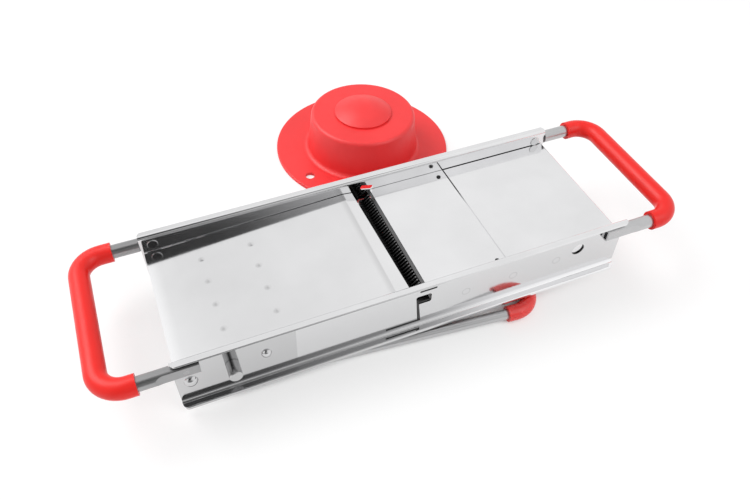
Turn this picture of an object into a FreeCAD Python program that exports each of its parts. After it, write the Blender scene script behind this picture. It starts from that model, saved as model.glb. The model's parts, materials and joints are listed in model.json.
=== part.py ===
import FreeCAD, Part
import math
import os
from FreeCAD import Vector

# A steel kitchen mandoline lying on its folded leg, with its hat-shaped food pusher beside it.
# The slicer is drawn in its own level frame: X runs along the rails from the ramp to the far table,
# Y across, Z up from the lower edge of the rails. place() then tips it onto its folded leg.
# The pusher is drawn upright on the floor. All sizes are millimetres.

# Side rails: folded sheet with a top flange and a lower ledge, both turned outwards, the ledge with a
# short lip.
RAIL_LENGTH = 320.0
RAIL_HEIGHT = 46.3
CHANNEL_WIDTH = 105.5
SHEET = 1.0
FLANGE_REACH = 5.0
FLANGE_BEND = 1.8
FLANGE_CORNER = 4.0
LEDGE_REACH = 5.4
LEDGE_HEIGHT = 2.4
LEDGE_BEND = 2.0
LEDGE_CORNER = 4.0
RAIL_EDGE_ROUND = 0.8

# Round hole in the near rail, in front of the table carrier's side.
RAIL_HOLE_D = 9.7
RAIL_HOLE_INSET = 35.6
RAIL_HOLE_DROP = 17.4

# Tables between the rails. Lengthwise places given as X are measured from the middle of the rails.
TABLE_DROP = 11.8
TABLE_SIDE_GAP = 0.7
TABLE_END_INSET = 1.5
TABLE_BEND = 0.3
TABLE_LIP_DEPTH = 6.0
PLATE_SIDE_GAP = 0.25
BLADE_PLATE_LEFT = 9.1
BLADE_PLATE_LENGTH = 60.7
SEAM_GAP = 1.0
CARRIER_SIDE_DEPTH = 15.0
CARRIER_BEND = 1.0
CARRIER_GAP = 0.3

# Main blade under the blade plate.
BLADE_LENGTH_UNDER = 24.0
BLADE_THICKNESS = 1.2
BLADE_OVERHANG = 1.6
BLADE_EDGE = 0.1

# Small screws holding the blade plate to the carrier.
SCREW_X_FROM_SEAM = 6.5
SCREW_SIDE_INSET = 6.7
SCREW_SHANK_D = 2.0
SCREW_HEAD_D = 3.2
SCREW_HEAD_HEIGHT = 0.5
NUT_WIDTH = 5.0
NUT_HEIGHT = 2.0
SCREW_TAIL = 0.8

# Adjustable ramp, hinged under its left end and bent down along its right edge.
RAMP_LEFT_INSET = 1.3
RAMP_LEFT_DROP = 14.7
RAMP_HINGE_INSET = 6.0
RAMP_RIDGE_X = -12.0
RAMP_RIDGE_DROP = 9.2
RAMP_EDGE_X = -2.8
RAMP_EDGE_DIP = 1.1
RAMP_EDGE_SKEW = 2.7
RAMP_EDGE_ROUND = 0.4
RAMP_SIDE_GAP = 0.4
RAMP_SIDE_DEPTH = 13.0
RAMP_SIDE_INSET = 44.0
RAMP_SIDE_STOP = 10.0
RAMP_FALL = 9.0
HINGE_ROD_D = 4.0
KNUCKLE_SINK = 0.2
RUNNING_GAP = 0.05

# Dimples of the spot welds that hold the stiffener under the ramp.
WELD_ROW_INSETS = (36.5, 71.3)
WELD_SIDE_INSET = 21.4
WELDS_PER_ROW = 4
WELD_D = 3.4
WELD_DEPTH = 0.25
STIFFENER_FLANGE = 8.0
STIFFENER_DEPTH = 7.0
STIFFENER_OVERHANG_Y = 6.0

# Guide rivets that stop the ramp at the ends of slots in its turned-down sides.
GUIDE_INSET = 57.0
GUIDE_DROP = 21.0
GUIDE_PIN_D = 4.0
GUIDE_HEAD_D = 7.0
GUIDE_HEAD_HEIGHT = 2.6
GUIDE_SLOT_GAP = 0.42
GUIDE_TAIL = 2.0

# Thickness shaft with two spiral cams under the ramp and a plain knob outside the near rail.
SHAFT_INSET = 35.2
SHAFT_DROP = 20.5
SHAFT_D = 5.0
CAM_TURN = 180.0
CAM_WIDTH = 6.0
CAM_SIDE_INSET = 10.75
CAM_GAP = 0.3
CAM_SPARE_TURN = 20.0
KNOB_D = 8.6
KNOB_LENGTH = 10.5
KNOB_GAP = 0.2
KNOB_CHAMFER = 0.5
CLIP_D = 9.0
CLIP_THICKNESS = 1.4
SHAFT_TAIL = 0.8

# Handles: steel tube bent to a U, flattened where it is riveted outside the rails, red sleeve outside.
HANDLE_TUBE_D = 9.5
HANDLE_TUBE_WALL = 1.0
HANDLE_DROP = 8.2
HANDLE_AXIS_OUT = 1.85
LEFT_HANDLE_REACH = 41.5
RIGHT_HANDLE_REACH = 42.5
HANDLE_BEND = 16.0
HANDLE_LAP = 16.6
HANDLE_FLAT = 4.7
HANDLE_END_DEPTH = 5.5
HANDLE_FLAT_LEAD = 4.5
HANDLE_NOTCH_GAP = 0.5
GRIP_D = 13.6
GRIP_SETBACK = 21.5
LEFT_GRIP_FAR_EXTRA = 1.9
RIVET_INSET = 8.5
RIVET_D = 4.0
RIVET_HEAD_D = 7.5
RIVET_HEAD_HEIGHT = 0.5
RIVET_HEAD_ROUND = 0.35

# Folding leg: a splayed U of thinner tube with a red sleeve as its foot, cranked up to its pivots.
LEG_PIVOT_INSET = 9.0
LEG_PIVOT_DROP = 25.0
LEG_TUBE_D = 7.5
LEG_TUBE_WALL = 1.0
LEG_GRIP_D = 11.5
LEG_CRANK_INSET = 34.0
LEG_CRANK_BEND = 20.0
LEG_FOOT_INSET = 68.0
LEG_FOOT_OUT = 6.55
LEG_FOOT_GAP = 1.5
LEG_SLOPE = 0.020
LEG_CORNER_BEND = 16.0
LEG_GRIP_SETBACK = 24.1
LEG_PIN_D = 4.0
LEG_HEAD_D = 9.0
LEG_HEAD_HEIGHT = 3.0
LEG_INNER_HEAD_HEIGHT = 1.5
LEG_BUSH_D = 8.4
LEG_BUSH_LENGTH = 2.05
LEG_SIDE_GAP = 0.15

# Julienne insert: a Z-shaped sheet carrier that slides out through the rails, with a comb of teeth on top.
INSERT_WEB_X = -0.1
INSERT_WEB_LEAN = 1.9
INSERT_SHEET = 1.0
INSERT_TOP_DROP = 20.1
INSERT_FOOT_DROP = 39.7
INSERT_TOP_REACH = 8.9
INSERT_FOOT_REACH = 21.0
INSERT_GAP = 0.7
INSERT_SEAT_GAP = 0.1
INSERT_END_INSET = 0.5
INSERT_CORNER = 1.6
COMB_BASE = 0.6
COMB_LEFT = 0.2
COMB_RIGHT = 8.9
TOOTH_HEIGHT = 5.6
TOOTH_TIP_X = 7.15
TOOTH_PITCH = 2.7
TOOTH_THICKNESS = 0.9
TOOTH_TIP = 0.5
COMB_END_MARGIN = 2.2

# Loading slots for the blade above the blade plate: a slanted window in the far rail and a thin slit
# in the near one.
BLADE_SLOT_X = 6.7
BLADE_SLOT_DROP = 8.8
BLADE_SLOT_LENGTH = 10.0
BLADE_SLOT_HEIGHT = 4.0
BLADE_SLOT_ANGLE = 14.0
SLIT_X = 8.0
SLIT_DROP = 9.4
SLIT_LENGTH = 11.6
SLIT_HEIGHT = 1.3

# Food pusher: a round hat with a domed plunger head, a stem and a spiked plate inside.
PUSHER_X = 44.2
PUSHER_Y = 156.6
BRIM_D = 152.4
BRIM_THICKNESS = 2.8
BRIM_EDGE_ROUND = 0.9
CROWN_BASE_D = 97.0
CROWN_TAPER = 3.75
CROWN_HEIGHT = 36.5
CROWN_WALL = 2.2
CROWN_TOP_ROUND = 3.5
CROWN_FOOT_ROUND = 4.0
CROWN_FOOT_STEP = 0.15
CROWN_CAP_DEPTH = 3.6
HANG_HOLE_D = 8.0
HANG_HOLE_X = -58.2
HANG_HOLE_Y = -26.4
DOME_D = 49.0
DOME_RIM = 1.4
DOME_RISE = 6.6
STEM_D = 9.0
STEM_GAP = 0.1
SPIKE_PLATE_D = 62.0
SPIKE_PLATE_THICKNESS = 2.5
SPIKE_PLATE_HEIGHT = 13.0
SPIKE_D = 2.0
SPIKE_LENGTH = 7.0
SPIKE_POINT = 3.0
SPIKE_RING_RADII = (10.5, 19.5, 27.5)
SPIKE_PITCH = 12.0
STEM_SCREW_D = 3.0
STEM_SCREW_HEAD_D = 6.0
STEM_SCREW_HEAD_HEIGHT = 1.6
STEM_SCREW_DEPTH = 12.0
DOME_SPIGOT_D = 5.0
DOME_SPIGOT_DEPTH = 6.0

# Heights and widths that several pieces share.
HALF_LENGTH = RAIL_LENGTH / 2
WALL_IN = CHANNEL_WIDTH / 2
WALL_OUT = WALL_IN + SHEET
FLANGE_OUT = WALL_OUT + FLANGE_REACH
LEDGE_OUT = WALL_OUT + LEDGE_REACH
TABLE_TOP = RAIL_HEIGHT - TABLE_DROP
TABLE_UNDER = TABLE_TOP - SHEET
SHAFT_Z = RAIL_HEIGHT - SHAFT_DROP
GUIDE_Z = RAIL_HEIGHT - GUIDE_DROP
HANDLE_Z = RAIL_HEIGHT - HANDLE_DROP
HANDLE_Y = WALL_OUT + HANDLE_AXIS_OUT
LEG_PIVOT_Z = RAIL_HEIGHT - LEG_PIVOT_DROP
LEG_TUBE_R = LEG_TUBE_D / 2
LEG_GRIP_R = LEG_GRIP_D / 2
LEG_PIVOT_Y = WALL_IN - LEG_BUSH_LENGTH - LEG_SIDE_GAP - LEG_TUBE_R
LEG_FOOT_Y = FLANGE_OUT + LEG_FOOT_OUT
LEG_FOOT_X = HALF_LENGTH - LEG_FOOT_INSET
LEG_GRIP_START_X = LEG_FOOT_X - LEG_GRIP_SETBACK
CAM_Y = WALL_IN - CAM_SIDE_INSET
LEG_FOOT_Z = -(LEG_GRIP_R + LEG_FOOT_GAP)
INSERT_TOP = RAIL_HEIGHT - INSERT_TOP_DROP
INSERT_FOOT = RAIL_HEIGHT - INSERT_FOOT_DROP
SEAM_X = BLADE_PLATE_LEFT + BLADE_PLATE_LENGTH
BLADE_RIGHT = BLADE_PLATE_LEFT + BLADE_LENGTH_UNDER
CARRIER_LEFT = BLADE_RIGHT + CARRIER_GAP
TABLE_RIGHT = HALF_LENGTH - TABLE_END_INSET

# Places set back from the rails' left end.
LEFT_END = -HALF_LENGTH
RAMP_LEFT_X = LEFT_END + RAMP_LEFT_INSET
RAMP_HINGE_X = LEFT_END + RAMP_HINGE_INSET
RAMP_SIDE_LEFT = LEFT_END + RAMP_SIDE_INSET
RAMP_SIDE_RIGHT = RAMP_RIDGE_X - RAMP_SIDE_STOP
GUIDE_X = LEFT_END + GUIDE_INSET
SHAFT_X = LEFT_END + SHAFT_INSET
LEG_PIVOT_X = LEFT_END + LEG_PIVOT_INSET
LEG_CRANK_X = LEFT_END + LEG_CRANK_INSET
WELD_ROWS_X = [LEFT_END + inset for inset in WELD_ROW_INSETS]
WELD_Y = WALL_IN - WELD_SIDE_INSET

# Ramp line: its upper face at the left edge and at the ridge, and the angle it falls through.
RAMP_LEFT_TOP = RAIL_HEIGHT - RAMP_LEFT_DROP
RAMP_RIDGE_TOP = RAIL_HEIGHT - RAMP_RIDGE_DROP
RAMP_RISE = (RAMP_RIDGE_TOP - RAMP_LEFT_TOP) / (RAMP_RIDGE_X - RAMP_LEFT_X)
RAMP_HINGE_TOP = RAMP_LEFT_TOP + RAMP_RISE * (RAMP_HINGE_X - RAMP_LEFT_X)
KNUCKLE_R = HINGE_ROD_D / 2 + RUNNING_GAP + SHEET
RAMP_HINGE_Z = RAMP_HINGE_TOP - KNUCKLE_SINK - KNUCKLE_R
RAMP_ANGLE = math.degrees(math.atan(RAMP_FALL / (RAMP_EDGE_X - RAMP_HINGE_X)))


def box(x0, x1, y0, y1, z0, z1):
    return Part.makeBox(x1 - x0, y1 - y0, z1 - z0, Vector(x0, y0, z0))


def rod_y(x, z, radius, y0, y1):
    """A round bar along Y from y0 up to y1."""
    return Part.makeCylinder(radius, y1 - y0, Vector(x, y0, z), Vector(0, 1, 0))


def rod_z(x, y, radius, z0, z1):
    return Part.makeCylinder(radius, z1 - z0, Vector(x, y, z0), Vector(0, 0, 1))


def prism_y(outline, y0, y1):
    """A closed XZ outline drawn out along Y."""
    points = [Vector(x, y0, z) for x, z in outline]
    face = Part.Face(Part.makePolygon(points + points[:1]))
    return face.extrude(Vector(0, y1 - y0, 0))


def prism_x(outline, x0, x1):
    """A closed YZ outline drawn out along X."""
    points = [Vector(x0, y, z) for y, z in outline]
    face = Part.Face(Part.makePolygon(points + points[:1]))
    return face.extrude(Vector(x1 - x0, 0, 0))


def round_edges(shape, radius, chosen):
    """Fillet the straight edges whose middle point the test picks."""
    edges = [edge for edge in shape.Edges if chosen(edge.CenterOfMass, edge)]
    return shape.makeFillet(radius, edges)


def near(a, b):
    return abs(a - b) < 1e-4


def mirrored(shape):
    """The same piece on the other side of the lengthwise middle plane."""
    return shape.mirror(Vector(0, 0, 0), Vector(0, 1, 0))


def both_sides(shape):
    return Part.makeCompound([shape, mirrored(shape)])


def dome_head(x, z, y_face, diameter, height, outward):
    """A low round rivet head standing on a face across Y."""
    radius = diameter / 2
    ball = (radius ** 2 + height ** 2) / (2 * height)
    centre = y_face + outward * (height - ball)
    cap = Part.makeSphere(ball, Vector(x, centre, z))
    low = min(y_face, y_face + outward * height)
    return cap.common(box(x - diameter, x + diameter, low, low + height, z - diameter, z + diameter))


def flat_head(x, z, y_face, diameter, height, outward):
    """A flat round rivet head with a rounded rim, standing on a face across Y."""
    y_top = y_face + outward * height
    head = rod_y(x, z, diameter / 2, min(y_face, y_top), max(y_face, y_top))
    rim = [edge for edge in head.Edges if near(edge.CenterOfMass.y, y_top)]
    return head.makeFillet(RIVET_HEAD_ROUND, rim)


def bent_wire(points, radii):
    """Straight runs through the points, with a tangent arc of the given radius at each inner point."""
    edges = []
    start = points[0]
    for before, corner, after, radius in zip(points, points[1:], points[2:], radii):
        back = (before - corner).normalize()
        ahead = (after - corner).normalize()
        half = back.getAngle(ahead) / 2
        reach = radius / math.tan(half)
        middle = corner + (back + ahead).normalize() * (radius / math.sin(half) - radius)
        arc_start = corner + back * reach
        arc_end = corner + ahead * reach
        edges.append(Part.makeLine(start, arc_start))
        edges.append(Part.Arc(arc_start, middle, arc_end).toShape())
        start = arc_end
    edges.append(Part.makeLine(start, points[-1]))
    return Part.Wire(edges)


def rod_along(wire, radius):
    """A round bar swept along a bent wire."""
    first = wire.Edges[0]
    tangent = first.tangentAt(first.FirstParameter)
    circle = Part.Wire(Part.makeCircle(radius, first.valueAt(first.FirstParameter), tangent))
    return wire.makePipeShell([circle], True, False)


def tube_along(wire, outer, inner):
    return rod_along(wire, outer).cut(rod_along(wire, inner))


def ramp_top(x):
    return RAMP_LEFT_TOP + RAMP_RISE * (x - RAMP_LEFT_X)


def insert_outline(gap, seat, above):
    """Section of the Z-shaped insert, grown by a gap, a smaller gap at its seat and the room above it."""
    left = INSERT_WEB_X
    right = left + INSERT_SHEET
    top = INSERT_TOP
    foot = INSERT_FOOT
    return [
        (left - gap, top + above),
        (right + INSERT_TOP_REACH + gap, top + above),
        (right + INSERT_TOP_REACH + gap, top - INSERT_SHEET - gap),
        (right + gap, top - INSERT_SHEET - gap),
        (right + INSERT_WEB_LEAN + gap, foot - seat),
        (left - INSERT_FOOT_REACH - gap, foot - seat),
        (left - INSERT_FOOT_REACH - gap, foot + INSERT_SHEET + gap),
        (left + INSERT_WEB_LEAN - gap, foot + INSERT_SHEET + gap),
    ]


def insert_opening(y0, y1, above):
    """The Z-shaped hole in a rail, rounded at the end of its upper arm, with the given room above it."""
    hole = prism_y(insert_outline(INSERT_GAP, INSERT_SEAT_GAP, above), y0, y1)
    arm_end = INSERT_WEB_X + INSERT_SHEET + INSERT_TOP_REACH + INSERT_GAP
    corner_top = INSERT_TOP + above

    def at_upper_arm(middle, edge):
        along_y = near(middle.y, (y0 + y1) / 2) and near(edge.Length, y1 - y0)
        return along_y and (near(middle.x, arm_end) or near(middle.z, corner_top))

    tall = above + INSERT_SHEET + INSERT_GAP
    return round_edges(hole, min(INSERT_CORNER, 0.4 * tall), at_upper_arm)


def round_ended_slot(x, drop, length, height, angle, y0, y1):
    """A slot through a rail with rounded ends, tipped by an angle about its middle."""
    half = length / 2
    tall = height / 2
    slot = box(-half, half, y0, y1, -tall, tall)
    slot = round_edges(slot, tall * 0.9, lambda m, e: near(e.Length, y1 - y0) and near(m.y, (y0 + y1) / 2))
    slot.rotate(Vector(0, 0, 0), Vector(0, 1, 0), angle)
    slot.translate(Vector(x, 0, RAIL_HEIGHT - drop))
    return slot


def far_rail_holes(y0, y1):
    """The holes that only the far rail has."""
    window = round_ended_slot(BLADE_SLOT_X, BLADE_SLOT_DROP, BLADE_SLOT_LENGTH, BLADE_SLOT_HEIGHT,
                              BLADE_SLOT_ANGLE, y0, y1)
    return [insert_opening(y0, y1, INSERT_GAP), window]


def near_rail_holes(y0, y1):
    """The holes that only the near rail has: the insert comes out here, teeth and all."""
    slit = round_ended_slot(SLIT_X, SLIT_DROP, SLIT_LENGTH, SLIT_HEIGHT, 0, y0, y1)
    hole_x = HALF_LENGTH - RAIL_HOLE_INSET
    round_hole = rod_y(hole_x, RAIL_HEIGHT - RAIL_HOLE_DROP, RAIL_HOLE_D / 2, y0, y1)
    return [insert_opening(y0, y1, TOOTH_HEIGHT + INSERT_GAP), slit, round_hole]


def end_rounding(out, radius, z0, z1):
    """Plan of the rail between two heights, reaching out to a given place, with its outer corners rounded."""
    plan = box(-HALF_LENGTH, HALF_LENGTH, WALL_IN - SHEET, out, z0, z1)
    return round_edges(plan, radius, lambda m, e: near(m.y, out) and near(abs(m.x), HALF_LENGTH)
                       and near(m.z, (z0 + z1) / 2))


def side_rail(own_holes):
    """A rail as it stands on the far side: flange, wall, ledge and lip from one folded sheet, with holes."""
    outline = [
        (WALL_IN, RAIL_HEIGHT),
        (FLANGE_OUT, RAIL_HEIGHT),
        (FLANGE_OUT, RAIL_HEIGHT - SHEET),
        (WALL_OUT, RAIL_HEIGHT - SHEET),
        (WALL_OUT, LEDGE_HEIGHT),
        (LEDGE_OUT, LEDGE_HEIGHT),
        (LEDGE_OUT, 0),
        (LEDGE_OUT - SHEET, 0),
        (LEDGE_OUT - SHEET, LEDGE_HEIGHT - SHEET),
        (WALL_IN, LEDGE_HEIGHT - SHEET),
    ]
    rail = prism_x(outline, -HALF_LENGTH, HALF_LENGTH)
    bends = (
        (outline[0], FLANGE_BEND + SHEET),
        (outline[3], FLANGE_BEND),
        (outline[4], LEDGE_BEND),
        (outline[9], LEDGE_BEND + SHEET),
        (outline[1], RAIL_EDGE_ROUND),
        (outline[5], RAIL_EDGE_ROUND),
    )
    for (y, z), radius in bends:
        rail = round_edges(rail, radius, lambda m, e: near(m.y, y) and near(m.z, z) and near(m.x, 0))
    middle = RAIL_HEIGHT / 2
    upper = end_rounding(FLANGE_OUT, FLANGE_CORNER, middle, RAIL_HEIGHT + SHEET)
    lower = end_rounding(LEDGE_OUT, LEDGE_CORNER, -SHEET, middle)
    rail = rail.common(upper.fuse(lower)).removeSplitter()
    y0 = WALL_IN - SHEET
    y1 = WALL_OUT + SHEET
    holes = own_holes(y0, y1) + [
        rod_y(SHAFT_X, SHAFT_Z, SHAFT_D / 2 + RUNNING_GAP, y0, y1),
        rod_y(GUIDE_X, GUIDE_Z, GUIDE_PIN_D / 2, y0, y1),
        rod_y(LEG_PIVOT_X, LEG_PIVOT_Z, LEG_PIN_D / 2, y0, y1),
    ]
    for end in (-1, 1):
        holes.append(rod_y(end * (HALF_LENGTH - RIVET_INSET), HANDLE_Z, RIVET_D / 2, y0, y1))
    return rail.cut(holes)


def table_carrier():
    """Channel welded between the rails, carrying the blade plate and the fixed table."""
    top = TABLE_UNDER
    low = top - CARRIER_SIDE_DEPTH
    outline = [
        (-WALL_IN, low),
        (-WALL_IN, top),
        (WALL_IN, top),
        (WALL_IN, low),
        (WALL_IN - SHEET, low),
        (WALL_IN - SHEET, top - SHEET),
        (-WALL_IN + SHEET, top - SHEET),
        (-WALL_IN + SHEET, low),
    ]
    right = TABLE_RIGHT - SHEET - TABLE_BEND - CARRIER_GAP
    carrier = prism_x(outline, CARRIER_LEFT, right)
    middle_x = (CARRIER_LEFT + right) / 2
    carrier = round_edges(carrier, CARRIER_BEND + SHEET,
                          lambda m, e: near(m.x, middle_x) and near(m.z, top) and near(abs(m.y), WALL_IN))
    return carrier.cut(screw_holes())


def screw_places():
    x = SEAM_X - SCREW_X_FROM_SEAM
    y = WALL_IN - SCREW_SIDE_INSET
    return [(x, -y), (x, y)]


def screw_holes():
    low = TABLE_UNDER - 2 * SHEET
    high = TABLE_TOP + SHEET
    return [rod_z(x, y, SCREW_SHANK_D / 2 + RUNNING_GAP, low, high) for x, y in screw_places()]


def fixed_table():
    """Plain table sheet with its end turned down over the carrier."""
    left = SEAM_X + SEAM_GAP / 2
    low = TABLE_UNDER - TABLE_LIP_DEPTH
    outline = [
        (left, TABLE_UNDER),
        (left, TABLE_TOP),
        (TABLE_RIGHT, TABLE_TOP),
        (TABLE_RIGHT, low),
        (TABLE_RIGHT - SHEET, low),
        (TABLE_RIGHT - SHEET, TABLE_UNDER),
    ]
    side = WALL_IN - TABLE_SIDE_GAP
    table = prism_y(outline, -side, side)
    table = round_edges(table, TABLE_BEND + SHEET,
                        lambda m, e: near(m.x, TABLE_RIGHT) and near(m.z, TABLE_TOP))
    return round_edges(table, TABLE_BEND,
                       lambda m, e: near(m.x, TABLE_RIGHT - SHEET) and near(m.z, TABLE_UNDER))


def blade_plate():
    side = WALL_IN - PLATE_SIDE_GAP
    plate = box(BLADE_PLATE_LEFT, SEAM_X - SEAM_GAP / 2, -side, side, TABLE_UNDER, TABLE_TOP)
    return plate.cut(screw_holes())


def main_blade():
    """Blade welded under the plate, with its bevel standing out into the slot."""
    low = TABLE_UNDER - BLADE_THICKNESS
    outline = [
        (BLADE_RIGHT, TABLE_UNDER),
        (BLADE_PLATE_LEFT, TABLE_UNDER),
        (BLADE_PLATE_LEFT - BLADE_OVERHANG, low + BLADE_EDGE),
        (BLADE_PLATE_LEFT - BLADE_OVERHANG, low),
        (BLADE_RIGHT, low),
    ]
    side = WALL_IN - PLATE_SIDE_GAP
    return prism_y(outline, -side, side)


def blade_screws():
    tail = TABLE_UNDER - SHEET - NUT_HEIGHT - SCREW_TAIL
    screws = []
    for x, y in screw_places():
        head = rod_z(x, y, SCREW_HEAD_D / 2, TABLE_TOP, TABLE_TOP + SCREW_HEAD_HEIGHT)
        screws.append(head.fuse(rod_z(x, y, SCREW_SHANK_D / 2, tail, TABLE_TOP)).removeSplitter())
    return Part.makeCompound(screws)


def blade_nuts():
    """Small hexagon nuts drawn up under the carrier."""
    corner = NUT_WIDTH / math.sqrt(3)
    top = TABLE_UNDER - SHEET
    nuts = []
    for x, y in screw_places():
        angles = [math.radians(60 * k) for k in range(6)]
        points = [Vector(x + corner * math.cos(a), y + corner * math.sin(a), top) for a in angles]
        nut = Part.Face(Part.makePolygon(points + points[:1])).extrude(Vector(0, 0, -NUT_HEIGHT))
        nuts.append(nut.cut(rod_z(x, y, SCREW_SHANK_D / 2 + RUNNING_GAP, top - NUT_HEIGHT, top)))
    return Part.makeCompound(nuts)


def handle_wire(reach, near_back, far_back):
    """Axis of a handle at the right end, each arm running back from the crossbar by its own length."""
    cross = HALF_LENGTH + reach
    points = [
        Vector(cross - near_back, -HANDLE_Y, HANDLE_Z),
        Vector(cross, -HANDLE_Y, HANDLE_Z),
        Vector(cross, HANDLE_Y, HANDLE_Z),
        Vector(cross - far_back, HANDLE_Y, HANDLE_Z),
    ]
    return bent_wire(points, (HANDLE_BEND, HANDLE_BEND))


def handle_tube(reach):
    """Handle tube at the right end: hollow round the U, flattened outside the rails, open at its ends."""
    radius = HANDLE_TUBE_D / 2
    bore = radius - HANDLE_TUBE_WALL
    flat_y = WALL_OUT + HANDLE_FLAT
    flat_end = HALF_LENGTH + HANDLE_FLAT_LEAD
    arm = reach + HANDLE_LAP
    tube = rod_along(handle_wire(reach, arm, arm), radius)
    hollow_arm = reach - HANDLE_FLAT_LEAD - HANDLE_TUBE_D
    hollow = rod_along(handle_wire(reach, hollow_arm, hollow_arm), bore)
    start = HALF_LENGTH - HANDLE_LAP - SHEET
    low = HANDLE_Z - radius
    high = HANDLE_Z + radius
    notch = box(start, HALF_LENGTH + HANDLE_NOTCH_GAP, 0, WALL_OUT, low, high)
    press = box(start, flat_end, flat_y, HANDLE_Y + radius, low, high)
    lead = rod_z(flat_end, flat_y + HANDLE_TUBE_D, HANDLE_TUBE_D, low, high)
    mouth_end = start + HANDLE_END_DEPTH
    mouth = box(start, mouth_end, WALL_OUT + HANDLE_TUBE_WALL, flat_y - HANDLE_TUBE_WALL, low, high)
    axis = Part.makeCylinder(bore, HANDLE_END_DEPTH, Vector(start, HANDLE_Y, HANDLE_Z), Vector(1, 0, 0))
    rivet = rod_y(HALF_LENGTH - RIVET_INSET, HANDLE_Z, RIVET_D / 2, WALL_OUT, flat_y)
    end_cuts = [notch, press, lead, mouth.common(axis), rivet]
    return tube.cut([hollow] + end_cuts + [mirrored(cut) for cut in end_cuts])


def handle_grip(reach, far_extra):
    """Red sleeve moulded round the bend of a handle at the right end, longer on its far arm if asked."""
    wire = handle_wire(reach, GRIP_SETBACK, GRIP_SETBACK + far_extra)
    return tube_along(wire, GRIP_D / 2, HANDLE_TUBE_D / 2 + RUNNING_GAP)


def turned_end_for_end(shape):
    """The same piece at the other end of the slicer."""
    return shape.mirror(Vector(0, 0, 0), Vector(1, 0, 0))


def handle_rivets():
    rivets = []
    for end in (-1, 1):
        x = end * (HALF_LENGTH - RIVET_INSET)
        shank = rod_y(x, HANDLE_Z, RIVET_D / 2, WALL_IN, WALL_OUT + HANDLE_FLAT)
        head = flat_head(x, HANDLE_Z, WALL_IN, RIVET_HEAD_D, RIVET_HEAD_HEIGHT, -1)
        rivet = shank.fuse(head)
        rivets += [rivet, mirrored(rivet)]
    return Part.makeCompound(rivets)


def hinge_rod():
    return rod_y(RAMP_HINGE_X, RAMP_HINGE_Z, HINGE_ROD_D / 2, -WALL_IN, WALL_IN)


def ramp_side():
    return WALL_IN - RAMP_SIDE_GAP


def ramp_outline():
    """Section of the ramp sheet from its left edge to its bent-down right edge."""
    edge_top = RAMP_RIDGE_TOP - RAMP_EDGE_DIP
    return [
        (RAMP_LEFT_X, RAMP_LEFT_TOP),
        (RAMP_RIDGE_X, RAMP_RIDGE_TOP),
        (RAMP_EDGE_X, edge_top),
        (RAMP_EDGE_X, edge_top - SHEET),
        (RAMP_RIDGE_X, RAMP_RIDGE_TOP - SHEET),
        (RAMP_LEFT_X, RAMP_LEFT_TOP - SHEET),
    ]


def ramp_edge_trim():
    """Wedge that sets the ramp's right edge back towards the far rail, so that the slot is wider there."""
    corners = [
        Vector(RAMP_EDGE_X, -WALL_IN, 0),
        Vector(RAMP_EDGE_X + SHEET, -WALL_IN, 0),
        Vector(RAMP_EDGE_X + SHEET, WALL_IN, 0),
        Vector(RAMP_EDGE_X - RAMP_EDGE_SKEW, WALL_IN, 0),
    ]
    return Part.Face(Part.makePolygon(corners + corners[:1])).extrude(Vector(0, 0, RAIL_HEIGHT))


def ramp_side_flange():
    """Turned-down side of the ramp, with the slot that runs on the guide rivet."""
    left = RAMP_SIDE_LEFT
    right = RAMP_SIDE_RIGHT
    outline = [
        (left, ramp_top(left) - SHEET / 2),
        (right, ramp_top(right) - SHEET / 2),
        (right, ramp_top(right) - RAMP_SIDE_DEPTH),
        (left, ramp_top(left) - RAMP_SIDE_DEPTH),
    ]
    side = prism_y(outline, ramp_side() - SHEET, ramp_side())
    travel = (GUIDE_X - RAMP_HINGE_X) * math.tan(math.radians(RAMP_ANGLE))
    half = GUIDE_PIN_D / 2 + GUIDE_SLOT_GAP
    y0 = ramp_side() - 2 * SHEET
    y1 = ramp_side() + SHEET
    slot = box(GUIDE_X - half, GUIDE_X + half, y0, y1, GUIDE_Z, GUIDE_Z + travel)
    slot_ends = [rod_y(GUIDE_X, z, half, y0, y1) for z in (GUIDE_Z, GUIDE_Z + travel)]
    return side.cut([slot] + slot_ends)


def on_ramp_top_side(middle, edge):
    """Picks the upper edges along the two sides of the ramp sheet."""
    on_strip = middle.x > RAMP_RIDGE_X
    strip_rise = RAMP_EDGE_DIP / (RAMP_EDGE_X - RAMP_RIDGE_X)
    top = RAMP_RIDGE_TOP - strip_rise * (middle.x - RAMP_RIDGE_X) if on_strip else ramp_top(middle.x)
    return near(abs(middle.y), ramp_side()) and near(middle.z, top)


def weld_places():
    pitch = 2 * WELD_Y / (WELDS_PER_ROW - 1)
    return [(x, -WELD_Y + pitch * k) for x in WELD_ROWS_X for k in range(WELDS_PER_ROW)]


def ramp_plate():
    """Ramp sheet with a hinge knuckle below it, turned-down sides and shallow weld dimples."""
    sheet = prism_y(ramp_outline(), -ramp_side(), ramp_side())
    sheet = round_edges(sheet, RAMP_EDGE_ROUND, on_ramp_top_side)
    sheet = sheet.cut(ramp_edge_trim())
    knuckle = rod_y(RAMP_HINGE_X, RAMP_HINGE_Z, KNUCKLE_R, -ramp_side(), ramp_side())
    ramp = sheet.fuse([knuckle, ramp_side_flange(), mirrored(ramp_side_flange())])
    ramp = ramp.cut(rod_y(RAMP_HINGE_X, RAMP_HINGE_Z, HINGE_ROD_D / 2 + RUNNING_GAP, -WALL_IN, WALL_IN))
    ball = (WELD_D ** 2 / 4 + WELD_DEPTH ** 2) / (2 * WELD_DEPTH)
    dimples = [Part.makeSphere(ball, Vector(x, y, ramp_top(x) + ball - WELD_DEPTH)) for x, y in weld_places()]
    return ramp.cut(dimples).removeSplitter()


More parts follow.
